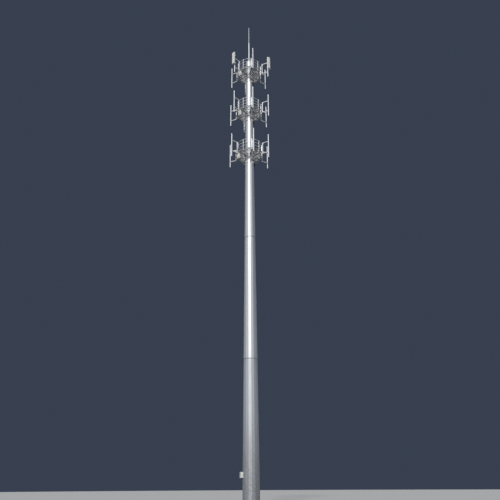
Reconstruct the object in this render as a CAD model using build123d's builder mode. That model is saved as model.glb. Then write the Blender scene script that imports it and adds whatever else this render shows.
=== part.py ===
from build123d import *
import os
from math import atan, cos, degrees, hypot, pi, radians, sin

# A half-size model of a 46.4 m steel monopole that carries three round antenna platforms.
# real() takes a size of the full-size tower in millimetres and gives the model's size.
# The origin is at the centre of the base flange's underside, +Z is up and the front looks along -Y.
# An azimuth is counted in degrees from the front (-Y) towards the right (+X).
model_scale = 0.5


def real(size):
    return size * model_scale


# Pole: 16 flat facets, four tapered sections that slip over one another
pole_sides = 16
facet_azimuth = -6.0
base_width = real(1300)
top_width = real(590)
pole_height = real(41650)
section_starts = [real(50), real(11000), real(21800), real(31600)]
section_overlaps = [real(1650), real(1370), real(1100)]
section_walls = [real(10), real(8), real(8), real(6)]
slip_gap = real(0.5)

# Base flange, its anchor holes and the gussets between them
flange_thickness = section_starts[0]
flange_width = base_width + real(440)
flange_bore = base_width - real(400)
anchor_circle = base_width + real(280)
anchor_hole = real(52)
anchor_count = pole_sides
gusset_reach = real(190)
gusset_height = real(320)
gusset_lip = real(50)
gusset_thickness = real(16)

# Hand hole at the back: a rim frame set in the wall, and its cover
door_azimuth = facet_azimuth + 180
door_height = real(1350)
door_opening_width = real(170)
door_opening_length = real(760)
rim_width = real(25)
rim_depth = real(70)
rim_stand_out = real(14)
rim_gap = real(0.6)
cover_thickness = real(6)

# Junction box on two rails, low on the left of the pole
box_azimuth = facet_azimuth - 67.5
box_height = real(2300)
box_width = real(340)
box_length = real(400)
box_depth = real(180)
box_corner = real(14)
box_lid_lip = real(8)
box_lid_depth = real(30)
box_rail_width = real(40)
box_rail_depth = real(30)
box_rail_spacing = real(260)

# Head plate with the rod's socket, and the lightning rod
cap_thickness = real(16)
cap_overhang = real(20)
socket_wall = real(12)
socket_height = real(320)
socket_gap = real(0.6)
rod_base_diameter = real(101.6)
rod_base_length = real(2500)
rod_tip_diameter = real(48.3)
rod_point = real(120)
tower_height = pole_height + real(4750)

# Platforms: the decks stand at even steps below the pole's top, with six mount pipes on each
upper_deck_depth = real(1650)
deck_spacing = real(4800)
upper_deck_height = pole_height - upper_deck_depth
deck_heights = {
    "lower": upper_deck_height - 2 * deck_spacing,
    "middle": upper_deck_height - deck_spacing,
    "upper": upper_deck_height,
}
pipe_azimuths = {
    "lower": [11, 62, 121, 184, 247, 305],
    "middle": [10, 67, 123, 195, 246, 314],
    "upper": [11, 69, 124, 191, 242, 315],
}

# Clamp bands around the pole: depth of the top of each band below the deck, and its height
deck_band = (real(30), real(160))
radio_band = (real(350), real(110))
brace_band = (real(860), real(130))
band_thickness = real(20)
band_gap = real(0.6)
band_split = real(24)
ear_azimuth = facet_azimuth + 157.5
ear_reach = real(70)
ear_thickness = real(20)

# Round deck: bar grating between a rolled edge ring and a band around the pole
deck_radius = real(1136)
edge_rise = real(80)
edge_thickness = real(8)
grating_depth = real(30)
grating_bar = real(10)
grating_pitch = real(105)
deck_bore_gap = real(80)

# Radial beams under the deck, and the braces below them
beam_width = real(80)
beam_depth = real(90)
brace_width = real(50)
brace_depth = real(60)
brace_reach = deck_radius - real(6)

# Railing: rolled rails inside square posts, with a whole number of chords between posts
post_count = 9
ring_chords = 3 * post_count
post_azimuth = 10
post_width = real(50)
rail_heights = [real(150), real(483), real(817), real(1150)]
rail_diameter = real(42.4)
rail_sides = 4

# Outer ring pipe, and the C-shaped brackets that are clamped to it
outer_ring_radius = deck_radius + real(204)
outer_ring_diameter = real(60.3)
outer_ring_sides = 6
bracket_post_width = real(60)
bracket_low = real(-230)
bracket_high = real(970)
arm_width = real(50)
saddle_width = real(120)
saddle_height = real(110)
saddle_thickness = real(10)

# Vertical mount pipes
pipe_radius = outer_ring_radius + real(680)
pipe_diameter = real(88.9)
pipe_sides = 12
pipe_low = real(-800)
pipe_high = real(1700)

# Panel antennas on two of the upper platform's pipes
panel_pipes = [1, 5]
panel_width = real(320)
panel_length = real(1370)
panel_depth = real(130)
panel_corner = real(45)
panel_rise = real(-180)
panel_stand_off = real(70)
panel_clamp_width = real(90)
panel_clamp_height = real(70)
panel_clamp_inset = real(220)

# Radio units: two on arms from the radio band, one hung under the beam at the left
radio_width = real(300)
radio_length = real(480)
radio_depth = real(150)
radio_corner = real(20)
radio_arm = real(25)
radio_arm_height = real(60)
band_radio_azimuths = [-84, 37]
hung_radio_pipe = 5
hung_radio_reach = deck_radius + real(69)
hanger_length = real(170)
hanger_width = real(60)

# Cable hood on the pole below each deck, notched over the brace band
hood_azimuth = facet_azimuth + 112.5
hood_top_depth = real(540)
hood_length = real(740)
hood_width = real(130)
hood_depth = real(120)
hood_gap = real(0.6)

wall_steps = sum(section_walls[1:]) + slip_gap * (len(section_walls) - 1)
side_slope = (base_width / 2 + wall_steps - top_width / 2) / pole_height
taper_angle = degrees(atan(side_slope))
facet_turn = facet_azimuth - 90 - 180 / pole_sides
ring_turn = post_azimuth - 90 - 180 / ring_chords
beam_top = -deck_band[0]
beam_bottom = beam_top - beam_depth
bracket_inner = (outer_ring_radius + outer_ring_diameter / 2) / cos(pi / ring_chords)
saddle_reach = pipe_radius - pipe_diameter / 2
rail_radius = deck_radius - rail_diameter / 2 * cos(pi / rail_sides)
up = Vector(0, 0, 1)


def outward(azimuth):
    return Vector(sin(radians(azimuth)), -cos(radians(azimuth)), 0)


def side_plane(azimuth):
    # upright plane through the pole's axis: x runs outwards and y runs up
    return Plane(origin=(0, 0, 0), x_dir=outward(azimuth), z_dir=outward(azimuth).cross(up))


def facing_plane(azimuth, distance, height):
    # upright plane across the radius: x runs sideways, y runs up and z points outwards
    out = outward(azimuth)
    return Plane(origin=out * distance + up * height, x_dir=up.cross(out), z_dir=out)


def section_half_width(section, height):
    # half the width across flats of one pole section's outer face
    steps = sum(section_walls[1 : section + 1]) + slip_gap * section
    return base_width / 2 + steps - side_slope * height


def pole_half_width(height):
    section = max(i for i, start in enumerate(section_starts) if start <= height)
    return section_half_width(section, height)


def tapered_prism(half_width, bottom, height, mode=Mode.ADD):
    # 16-sided prism that narrows upwards as the pole does
    with BuildSketch(Plane.XY.offset(bottom)) as base:
        RegularPolygon(half_width, pole_sides, major_radius=False, rotation=facet_turn)
    extrude(base.sketch, amount=height, taper=taper_angle, mode=mode)


def ring_prism(radius, bottom, height, mode=Mode.ADD):
    # flat-sided stand-in for a rolled ring's cylinder, with a flat behind each railing post
    with BuildSketch(Plane.XY.offset(bottom)) as base:
        RegularPolygon(radius, ring_chords, major_radius=False, rotation=ring_turn)
    extrude(base.sketch, amount=height, mode=mode)


def side_bar(azimuth, outline, width):
    # bar whose side view is the outline, given as distances out and heights
    with BuildSketch(side_plane(azimuth)) as side:
        Polygon(*outline, align=None)
    extrude(side.sketch, amount=width / 2, both=True)


def side_block(azimuth, inner, outer, bottom, top, width):
    side_bar(azimuth, [(inner, bottom), (outer, bottom), (outer, top), (inner, top)], width)


def rolled_pipe(radius, diameter, sides, height):
    # pipe bent to a ring, made of straight chords
    corner = radius / cos(pi / ring_chords)
    turns = [radians(ring_turn) + 2 * pi * k / ring_chords for k in range(ring_chords)]
    with BuildLine(Plane.XY.offset(height)) as path:
        Polyline(*[(corner * cos(turn), corner * sin(turn)) for turn in turns], close=True)
    first = path.edges()[0]
    with BuildSketch(Plane(origin=first @ 0, x_dir=up, z_dir=first % 0)) as section:
        RegularPolygon(diameter / 2, sides, rotation=180 / sides)
    sweep(section.sketch, path=path.wires()[0], transition=Transition.RIGHT)


def clamp_band(deck, band):
    # two half bands that follow the pole's taper, with bolting ears at both joints
    below, height = band
    bottom = deck - below - height
    inner = pole_half_width(bottom) + band_gap
    outer = inner + band_thickness
    tapered_prism(outer, bottom, height)
    for azimuth in (ear_azimuth, ear_azimuth + 180):
        ear_width = band_split + 2 * ear_thickness
        side_block(azimuth, inner, outer + ear_reach, bottom, bottom + height, ear_width)
    tapered_prism(inner, bottom, height, Mode.SUBTRACT)
    with BuildSketch(side_plane(ear_azimuth)) as joint:
        with Locations((0, bottom + height / 2)):
            Rectangle(3 * outer, height)
    extrude(joint.sketch, amount=band_split / 2, both=True, mode=Mode.SUBTRACT)


def band_face(deck, band):
    # half width of a band's outer face at its lowest edge
    below, height = band
    return pole_half_width(deck - below - height) + band_gap + band_thickness


def trim_to_band(deck, band):
    # cuts what reaches inside a band's outer face, also above and below the band
    below, height = band
    bottom = deck - below - 2 * height
    tapered_prism(band_face(deck, band) + side_slope * height, bottom, 3 * height, Mode.SUBTRACT)


def chamfered_box(plane, width, length, depth, corner):
    # housing with its four long corners cut off
    with BuildSketch(plane) as face:
        Rectangle(width, length)
        chamfer(face.vertices(), corner)
    extrude(face.sketch, amount=depth)


def finish(part, label):
    part.label = label
    export_step(part, f"parts/{label}.step")


os.makedirs("parts", exist_ok=True)

# Base flange: 16-sided ring with the anchor holes in line with the pole's corners
with BuildPart() as base_flange:
    with BuildSketch():
        RegularPolygon(flange_width / 2, pole_sides, major_radius=False, rotation=facet_turn)
        RegularPolygon(
            flange_bore / 2, pole_sides, major_radius=False, rotation=facet_turn, mode=Mode.SUBTRACT
        )
        with PolarLocations(anchor_circle / 2, anchor_count, start_angle=facet_turn):
            Circle(anchor_hole / 2, mode=Mode.SUBTRACT)
    extrude(amount=flange_thickness)
finish(base_flange.part, "base_flange")

# One gusset on the middle of each facet, its inner edge sloped as the facet is
with BuildPart() as base_stiffeners:
    foot = section_half_width(0, flange_thickness)
    gusset_top = flange_thickness + gusset_height
    head = section_half_width(0, gusset_top)
    for k in range(pole_sides):
        outline = [
            (foot, flange_thickness),
            (foot + gusset_reach, flange_thickness),
            (foot + gusset_reach, flange_thickness + gusset_lip),
            (head + gusset_lip, gusset_top),
            (head, gusset_top),
        ]
        side_bar(facet_azimuth + 360 / pole_sides * k, outline, gusset_thickness)
finish(base_stiffeners.part, "base_stiffeners")

# Pole sections: each is a tapered tube that runs on inside the next one
section_ends = [start + lap for start, lap in zip(section_starts[1:], section_overlaps)] + [pole_height]
rim_outer_width = door_opening_width + 2 * rim_width
rim_outer_length = door_opening_length + 2 * rim_width
for index, wall in enumerate(section_walls):
    start = section_starts[index]
    length = section_ends[index] - start
    with BuildPart() as pole_section:
        tapered_prism(section_half_width(index, start), start, length)
        tapered_prism(section_half_width(index, start) - wall, start, length, Mode.SUBTRACT)
        if index == 0:
            with BuildSketch(facing_plane(door_azimuth, 0, door_height)):
                SlotOverall(rim_outer_length + 2 * rim_gap, rim_outer_width + 2 * rim_gap, rotation=90)
            extrude(amount=base_width, mode=Mode.SUBTRACT)
    finish(pole_section.part, f"pole_section_{index + 1}")

# Hand hole rim and its cover
rim_front = section_half_width(0, door_height) + rim_stand_out
with BuildPart() as door_frame:
    with BuildSketch(facing_plane(door_azimuth, rim_front - rim_depth, door_height)):
        SlotOverall(rim_outer_length, rim_outer_width, rotation=90)
        SlotOverall(door_opening_length, door_opening_width, rotation=90, mode=Mode.SUBTRACT)
    extrude(amount=rim_depth)
finish(door_frame.part, "door_frame")

with BuildPart() as access_door:
    with BuildSketch(facing_plane(door_azimuth, rim_front, door_height)):
        SlotOverall(rim_outer_length, rim_outer_width, rotation=90)
    extrude(amount=cover_thickness)
finish(access_door.part, "access_door")

# Junction box with its lid, on two rails fixed to the facet
rail_back = section_half_width(0, box_height - (box_rail_spacing + box_rail_width) / 2)
with BuildPart() as junction_box:
    with BuildSketch(facing_plane(box_azimuth, rail_back, box_height)):
        with GridLocations(0, box_rail_spacing, 1, 2):
            Rectangle(box_width, box_rail_width)
    extrude(amount=box_rail_depth)
    box_back = facing_plane(box_azimuth, rail_back + box_rail_depth, box_height)
    chamfered_box(box_back, box_width, box_length, box_depth - box_lid_depth, box_corner)
    chamfered_box(
        box_back.offset(box_depth - box_lid_depth),
        box_width + 2 * box_lid_lip,
        box_length + 2 * box_lid_lip,
        box_lid_depth,
        box_corner,
    )
finish(junction_box.part, "junction_box")

# Head plate on the pole's open top, with the socket that the rod stands in
cap_top = pole_height + cap_thickness
rod_radius = rod_base_diameter / 2
with BuildPart() as pole_cap:
    with BuildSketch(Plane.XY.offset(pole_height)):
        RegularPolygon(
            top_width / 2 + cap_overhang, pole_sides, major_radius=False, rotation=facet_turn
        )
    extrude(amount=cap_thickness)
    with BuildSketch(Plane.XY.offset(cap_top)):
        Circle(rod_radius + socket_gap + socket_wall)
        Circle(rod_radius + socket_gap, mode=Mode.SUBTRACT)
    extrude(amount=socket_height)
finish(pole_cap.part, "pole_cap")

# Lightning rod in two steps, with a pointed tip
with BuildPart() as lightning_rod:
    rod_step = cap_top + rod_base_length
    tip_radius = rod_tip_diameter / 2
    with BuildSketch(Plane.XZ):
        Polygon(
            (0, cap_top),
            (rod_radius, cap_top),
            (rod_radius, rod_step),
            (tip_radius, rod_step),
            (tip_radius, tower_height - rod_point),
            (0, tower_height),
            align=None,
        )
    revolve(axis=Axis.Z)
finish(lightning_rod.part, "lightning_rod")

for name, deck in deck_heights.items():
    azimuths = pipe_azimuths[name]

    with BuildPart() as clamp_bands:
        for band in (deck_band, radio_band, brace_band):
            clamp_band(deck, band)
    finish(clamp_bands.part, f"{name}_clamp_bands")

    # Beams end against the deck band and against the bracket posts
    with BuildPart() as deck_beams:
        for azimuth in azimuths:
            side_block(azimuth, 0, bracket_inner, deck + beam_bottom, deck + beam_top, beam_width)
        trim_to_band(deck, deck_band)
    finish(deck_beams.part, f"{name}_deck_beams")

    # Each brace runs from the brace band up to the underside of its beam
    with BuildPart() as braces:
        foot_reach = band_face(deck, brace_band)
        foot_middle = deck - brace_band[0] - brace_band[1] / 2
        brace_head = deck + beam_bottom
        rise = (brace_head - foot_middle) / (brace_reach - foot_reach)
        half_head = brace_depth / 2 * hypot(1, rise) / rise
        inside = foot_reach - band_thickness
        for azimuth in azimuths:
            outline = [
                (brace_reach - half_head, brace_head),
                (inside, brace_head - (brace_reach - half_head - inside) * rise),
                (inside, brace_head - (brace_reach + half_head - inside) * rise),
                (brace_reach + half_head, brace_head),
            ]
            side_bar(azimuth, outline, brace_width)
        trim_to_band(deck, brace_band)
    finish(braces.part, f"{name}_braces")

    # Deck: grating bars run from side to side between the edge ring and the band round the bore
    with BuildPart() as deck_panel:
        deck_bottom = deck - grating_depth
        bore_half = pole_half_width(deck) + deck_bore_gap
        inner_edge = deck_radius - edge_thickness
        ring_prism(deck_radius, deck_bottom, grating_depth + edge_rise)
        ring_prism(inner_edge, deck_bottom, grating_depth + edge_rise, Mode.SUBTRACT)
        with BuildSketch(Plane.XY.offset(deck_bottom)):
            RegularPolygon(inner_edge, ring_chords, major_radius=False, rotation=ring_turn)
            with GridLocations(0, grating_pitch, 1, int(2 * inner_edge / grating_pitch) + 1):
                Rectangle(3 * inner_edge, grating_pitch - grating_bar, mode=Mode.SUBTRACT)
            RegularPolygon(bore_half + grating_bar, pole_sides, major_radius=False, rotation=facet_turn)
            RegularPolygon(
                bore_half, pole_sides, major_radius=False, rotation=facet_turn, mode=Mode.SUBTRACT
            )
        extrude(amount=grating_depth)
    finish(deck_panel.part, f"{name}_deck")

    with BuildPart() as outer_ring:
        ring_height = deck + beam_top + outer_ring_diameter / 2 * cos(pi / outer_ring_sides)
        rolled_pipe(outer_ring_radius, outer_ring_diameter, outer_ring_sides, ring_height)
    finish(outer_ring.part, f"{name}_outer_ring")

    with BuildPart() as rails:
        for height in rail_heights:
            rolled_pipe(rail_radius, rail_diameter, rail_sides, deck + height)
    finish(rails.part, f"{name}_rails")

    with BuildPart() as rail_posts:
        post_top = deck + rail_heights[-1] + rail_diameter / 2
        for k in range(post_count):
            azimuth = post_azimuth + 360 / post_count * k
            side_block(
                azimuth, deck_radius, deck_radius + post_width, deck - grating_depth, post_top, post_width
            )
    finish(rail_posts.part, f"{name}_rail_posts")

    # Brackets: inner post on the ring, two arms and a saddle plate against the mount pipe
    with BuildPart() as brackets:
        post_outer = bracket_inner + bracket_post_width
        saddle_back = saddle_reach - saddle_thickness
        for azimuth in azimuths:
            low = deck + bracket_low
            side_block(azimuth, bracket_inner, post_outer, low, deck + bracket_high, bracket_post_width)
            for arm_middle in (bracket_low + arm_width / 2, bracket_high - arm_width / 2):
                low = deck + arm_middle - arm_width / 2
                side_block(azimuth, post_outer, saddle_back, low, low + arm_width, arm_width)
                low = deck + arm_middle - saddle_height / 2
                side_block(azimuth, saddle_back, saddle_reach, low, low + saddle_height, saddle_width)
    finish(brackets.part, f"{name}_mount_brackets")

    with BuildPart() as pipes:
        with BuildSketch(Plane.XY.offset(deck + pipe_low)):
            for azimuth in azimuths:
                turn = azimuth + 180 / pipe_sides
                with Locations(outward(azimuth) * pipe_radius):
                    RegularPolygon(pipe_diameter / 2, pipe_sides, major_radius=False, rotation=turn)
        extrude(amount=pipe_high - pipe_low)
    finish(pipes.part, f"{name}_mount_pipes")

    # Radio units: two on arms from the radio band, one on a hanger under a beam
    with BuildPart() as radios:
        radio_back = band_face(deck, radio_band) + radio_arm
        radio_middle = deck - radio_band[0] - radio_band[1] / 2
        arm_low = radio_middle - radio_arm_height / 2
        for azimuth in band_radio_azimuths:
            side_block(azimuth, 0, radio_back, arm_low, arm_low + radio_arm_height, radio_width / 2)
        trim_to_band(deck, radio_band)
        for azimuth in band_radio_azimuths:
            chamfered_box(
                facing_plane(azimuth, radio_back, radio_middle),
                radio_width,
                radio_length,
                radio_depth,
                radio_corner,
            )
        hung_azimuth = azimuths[hung_radio_pipe]
        hung_top = deck + beam_bottom - hanger_length
        hanger_inner = hung_radio_reach + (radio_depth - hanger_width) / 2
        chamfered_box(
            facing_plane(hung_azimuth, hung_radio_reach, hung_top - radio_length / 2),
            radio_width,
            radio_length,
            radio_depth,
            radio_corner,
        )
        hanger_outer = hanger_inner + hanger_width
        side_block(
            hung_azimuth, hanger_inner, hanger_outer, hung_top, deck + beam_bottom, hanger_width
        )
    finish(radios.part, f"{name}_radio_units")

    # Cable hood: its back lies on a facet, its top slopes and its mouth is open at the bottom
    with BuildPart() as cable_hood:
        hood_top = deck - hood_top_depth
        hood_bottom = hood_top - hood_length
        top_face = pole_half_width(hood_top)
        bottom_face = pole_half_width(hood_bottom)
        outline = [
            (top_face, hood_top),
            (bottom_face, hood_bottom),
            (bottom_face + hood_depth, hood_bottom),
            (bottom_face + hood_depth, hood_top - hood_depth),
        ]
        side_bar(hood_azimuth, outline, hood_width)
        notch_low = deck - sum(brace_band) - hood_gap
        tapered_prism(
            band_face(deck, brace_band) + hood_gap, notch_low, brace_band[1] + 2 * hood_gap, Mode.SUBTRACT
        )
    finish(cable_hood.part, f"{name}_cable_hood")

# Panel antennas: rounded housings on two clamps each
deck = deck_heights["upper"]
with BuildPart() as panel_antennas:
    panel_back = pipe_radius + pipe_diameter / 2 + panel_stand_off
    panel_middle = deck + pipe_high + panel_rise - panel_length / 2
    for pipe in panel_pipes:
        azimuth = pipe_azimuths["upper"][pipe]
        with BuildSketch(Plane.XY.offset(panel_middle - panel_length / 2)):
            with Locations(Location(outward(azimuth) * (panel_back + panel_depth / 2), azimuth)):
                RectangleRounded(panel_width, panel_depth, panel_corner)
        extrude(amount=panel_length)
        for reach in (panel_clamp_inset, panel_length - panel_clamp_inset):
            clamp_low = panel_middle - panel_length / 2 + reach - panel_clamp_height / 2
            side_block(
                azimuth,
                pipe_radius + pipe_diameter / 2,
                panel_back,
                clamp_low,
                clamp_low + panel_clamp_height,
                panel_clamp_width,
            )
finish(panel_antennas.part, "upper_panel_antennas")
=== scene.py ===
from math import atan, cos, pi, radians, sin, sqrt

import bpy
from mathutils import Matrix, Quaternion, Vector


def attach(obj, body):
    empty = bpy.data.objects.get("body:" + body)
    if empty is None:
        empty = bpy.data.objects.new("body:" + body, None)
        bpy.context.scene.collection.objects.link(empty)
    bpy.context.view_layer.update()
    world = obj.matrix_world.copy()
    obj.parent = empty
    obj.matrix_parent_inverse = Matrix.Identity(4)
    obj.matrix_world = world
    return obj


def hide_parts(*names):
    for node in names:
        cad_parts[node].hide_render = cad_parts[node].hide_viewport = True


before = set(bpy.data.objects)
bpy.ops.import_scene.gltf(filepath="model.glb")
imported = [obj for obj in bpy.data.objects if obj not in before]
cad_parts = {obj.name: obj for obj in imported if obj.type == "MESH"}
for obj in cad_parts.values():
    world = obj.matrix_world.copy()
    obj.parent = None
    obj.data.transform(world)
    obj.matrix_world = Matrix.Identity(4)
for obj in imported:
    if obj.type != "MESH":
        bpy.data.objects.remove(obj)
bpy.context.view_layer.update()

# Sizes shared by many pieces, in metres of the half-size model. An azimuth is in degrees
# from the front (-Y) towards the right (+X).
pole = {
    "sides": 16,
    "turn": -6,                       # azimuth of the facet that faces the camera
    "halfBase": 0.325,                # half the width across flats at the ground
    "slope": 0.0090876,
    "starts": [0.025, 5.5, 10.9, 15.8],
    "ends": [6.325, 11.585, 16.35, 20.825],
    "walls": [0.005, 0.004, 0.004, 0.003],
    "gap": 0.00025,
}
decks = {"lower": 15.2, "middle": 17.6, "upper": 20.0}
pipeAzimuths = {
    "lower": [11, 62, 121, 184, 247, 305],
    "middle": [10, 67, 123, 195, 246, 314],
    "upper": [11, 69, 124, 191, 242, 315],
}
facetTurn = pole["turn"] + 180 / pole["sides"]      # turns a 16-sided primitive in line with the pole
tiny = 0.00001              # corners closer than this are one
lap = 0.001                 # joined parts reach this far into each other
square = 0.9                # a face looks along an axis where its normal is past this
sharpOnly = 60              # bevels only the edges that turn by more than this
hairEdge, thinEdge, fineEdge, smallEdge, plainEdge, broadEdge = 0.0004, 0.0005, 0.0006, 0.0008, 0.001, 0.0012


def poleHalf(height, section=None):
    # half width across flats of the pole's outer face
    if section is None:
        section = max(i for i, start in enumerate(pole["starts"]) if start <= height)
    steps = sum(pole["walls"][1:section + 1]) + pole["gap"] * section
    return pole["halfBase"] + steps - pole["slope"] * height


# Handling of pieces
def choose(*pieces):
    if bpy.context.mode != "OBJECT":
        bpy.ops.object.mode_set(mode="OBJECT")
    bpy.ops.object.select_all(action="DESELECT")
    for piece in pieces:
        piece.select_set(True)
    bpy.context.view_layer.objects.active = pieces[0]


def settle(piece):
    # place, turn and size go into the mesh
    choose(piece)
    bpy.ops.object.transform_apply(location=True, rotation=True, scale=True)
    return piece


def putAt(piece, place):
    piece.matrix_world = place
    return settle(piece)


def modify(piece, kind, **values):
    choose(piece)
    modifier = piece.modifiers.new("shape", kind)
    for key, value in values.items():
        setattr(modifier, key, value)
    bpy.ops.object.modifier_apply(modifier=modifier.name)
    return piece


def repeat(piece, count, step):
    return modify(piece, "ARRAY", count=count, use_relative_offset=False,
                  use_constant_offset=True, constant_offset_displace=step)


def pick(piece, modes, parts, test):
    # opens edit mode with the parts of the mesh for which the test is true
    choose(piece)
    bpy.context.tool_settings.mesh_select_mode = modes
    for part in (*piece.data.vertices, *piece.data.edges, *piece.data.polygons):
        part.select = False
    for part in parts:
        part.select = bool(test(part))
    bpy.ops.object.mode_set(mode="EDIT")


def pickFaces(piece, test):
    # test(centre, normal)
    pick(piece, (False, False, True), piece.data.polygons, lambda face: test(face.center, face.normal))


def pickEdges(piece, test):
    # test(end, end)
    points = piece.data.vertices
    pick(piece, (False, True, False), piece.data.edges,
         lambda edge: test(points[edge.vertices[0]].co, points[edge.vertices[1]].co))


def leaveEdit():
    bpy.ops.object.mode_set(mode="OBJECT")


def extrude(shift):
    bpy.ops.mesh.extrude_region_move(TRANSFORM_OT_translate={"value": shift})


def mergeClose():
    bpy.ops.mesh.select_all(action="SELECT")
    bpy.ops.mesh.remove_doubles(threshold=tiny)


def facingUp(centre, normal):
    return normal.z > square


def facingFront(centre, normal):
    return normal.y < -square


def movePoints(piece, test, shift):
    # moves the corners for which test(place) is true
    pick(piece, (True, False, False), piece.data.vertices, lambda point: test(point.co))
    bpy.ops.transform.translate(value=shift)
    leaveEdit()


def insetFaces(piece, test, thickness, shift):
    # the faces inside the inset are moved
    pickFaces(piece, test)
    bpy.ops.mesh.inset(thickness=thickness)
    bpy.ops.transform.translate(value=shift)
    leaveEdit()
    return piece


def sinkFront(piece, border, slope):
    # shallow panel in the front face, with a sloping edge
    pickFaces(piece, facingFront)
    bpy.ops.mesh.inset(thickness=border)
    bpy.ops.mesh.inset(thickness=slope, depth=-0.002)
    leaveEdit()
    return piece


def openEnds(piece, wall, depth):
    # makes a bar along Z hollow at both ends
    pickFaces(piece, lambda c, n: abs(n.z) > square)
    bpy.ops.mesh.inset(thickness=wall, use_individual=True)
    bpy.ops.mesh.extrude_region_shrink_fatten(TRANSFORM_OT_shrink_fatten={"value": -depth})
    leaveEdit()
    return piece


def roundAlong(piece, axis, radius, segments):
    # rounds the edges that run along an axis and are longer than 4 mm
    pickEdges(piece, lambda a, b: abs(a[axis] - b[axis]) > 0.004)
    bpy.ops.mesh.bevel(offset=radius, segments=segments)
    leaveEdit()
    return piece


def bevelEdges(piece, width, segments, angle):
    return modify(piece, "BEVEL", width=width, segments=segments, limit_method="ANGLE",
                  angle_limit=radians(angle), harden_normals=False)


def smooth(piece, angle=40):
    choose(piece)
    bpy.ops.object.shade_smooth_by_angle(angle=radians(angle))
    return piece


def soften(piece, width, segments=2, angle=30):
    # small rounded edges that catch the light
    return smooth(bevelEdges(piece, width, segments, angle))


def paint(piece, material):
    piece.data.materials.clear()
    piece.data.materials.append(material)
    return piece


def label(piece, name):
    piece.name = piece.data.name = name
    return piece


def gather(pieces, name="model"):
    choose(*pieces)
    if len(pieces) > 1:
        bpy.ops.object.join()
    return settle(label(bpy.context.object, name))


def keep(piece, slotName, *nodes):
    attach(piece, "root")
    if nodes:
        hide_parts(*nodes)
    return piece


turned = {
    "up": Matrix.Identity(4),
    "out": Matrix.Rotation(pi / 2, 4, "X"),
    "in": Matrix.Rotation(-pi / 2, 4, "X"),
    "right": Matrix.Rotation(pi / 2, 4, "Y"),
    "left": Matrix.Rotation(-pi / 2, 4, "Y"),
}


def spot(azimuth, reach, height, side=0.0, facing="up"):
    # a place by azimuth, distance out, height and sideways shift; a model's top points to the facing
    return (Matrix.Rotation(radians(azimuth), 4, "Z")
            @ Matrix.Translation((side, -reach, height)) @ turned[facing])


def scatter(model, spots, name="model"):
    # the model is copied to each spot, each copy with its own mesh, and joined
    made = []
    for place in spots:
        twin = model.copy()
        twin.data = model.data.copy()
        bpy.context.collection.objects.link(twin)
        twin.matrix_world = place
        made.append(twin)
    discard(model)
    return gather(made, name)


def discard(*pieces):
    for piece in pieces:
        bpy.data.objects.remove(piece)


# Basic shapes, each started from a primitive and then worked
def block(size, centre, bevel=0.0, segments=2):
    bpy.ops.mesh.primitive_cube_add(size=1, location=centre)
    piece = bpy.context.object
    piece.scale = size
    settle(piece)
    return soften(piece, bevel, segments) if bevel else piece


def drum(radius, bottom, top, sides, reach=0.0, turn=0.0):
    # upright cylinder
    bpy.ops.mesh.primitive_cylinder_add(
        vertices=sides, radius=radius, depth=top - bottom,
        location=(0, -reach, (top + bottom) / 2), rotation=(0, 0, radians(turn)))
    return settle(bpy.context.object)


def squareTube(width, bottom, top, reach, wall, bevel):
    piece = block((width, width, top - bottom), (0, -reach, (top + bottom) / 2))
    return soften(openEnds(piece, wall, 0.03), bevel)


def rod(radius, start, end, sides=12, bevel=0.0):
    # round bar between two points
    start, end = Vector(start), Vector(end)
    middle, along = (start + end) / 2, end - start
    bpy.ops.mesh.primitive_cylinder_add(vertices=sides, radius=radius, depth=along.length, location=middle)
    piece = bpy.context.object
    piece.rotation_mode = "QUATERNION"
    piece.rotation_quaternion = along.to_track_quat("Z", "Y")
    settle(piece)
    if bevel:
        bevelEdges(piece, bevel, 1, sharpOnly)
    return smooth(piece, 50)


def stub(place, steps, material):
    # turned part that hangs from a point: radius, start and end below it, sides and bevel of each step
    x, y, z = place
    return [paint(rod(radius, (x, y, z - start), (x, y, z - end), sides, bevel), material)
            for radius, start, end, sides, bevel in steps]


def openShell(half, topHalf, bottom, top, sides, turn):
    # upright shell without ends; half is half its width across flats
    reach = 1 / cos(pi / sides)
    bpy.ops.mesh.primitive_cone_add(
        vertices=sides, radius1=half * reach, radius2=topHalf * reach, depth=top - bottom,
        end_fill_type="NOTHING", location=(0, 0, (top + bottom) / 2), rotation=(0, 0, radians(turn)))
    return settle(bpy.context.object)


def thicken(piece, thickness):
    # inwards from the outer face
    return modify(piece, "SOLIDIFY", thickness=thickness, offset=-1, use_even_offset=True)


def openRing(half, thickness, bottom, top, sides, turn, bevel):
    piece = thicken(openShell(half, half, bottom, top, sides, turn), thickness)
    return soften(piece, bevel, 2, sharpOnly)


def edgedCopy(node, name, width, angle=30):
    # merged copy of a CAD node with rounded edges
    piece = bpy.data.objects.new(name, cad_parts[node].data.copy())
    bpy.context.collection.objects.link(piece)
    choose(piece)
    bpy.ops.mesh.customdata_custom_splitnormals_clear()
    bpy.ops.object.mode_set(mode="EDIT")
    mergeClose()
    bpy.ops.mesh.dissolve_limited(angle_limit=radians(0.6))
    leaveEdit()
    return soften(piece, width, 2, angle)


# Fasteners, modelled once at the origin and pointing up
# these sizes are shares of the width across flats
boltShape = {"head": 0.62, "washer": 0.12, "chamfer": 0.09, "dome": 0.05, "stud": 0.31, "point": 0.06,
             "shank": 0.3, "stick": 0.25}


def hexBolt(across, washer=0.71875):
    # hexagon head with a chamfered top on a round washer, whose radius is also a share
    shape = boltShape
    under = across * shape["washer"]
    piece = drum(across / sqrt(3), under, under + across * shape["head"], 6)
    insetFaces(piece, facingUp, across * shape["chamfer"], (0, 0, across * shape["dome"]))
    return gather([piece, drum(across * washer, 0, under, 12)])


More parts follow.
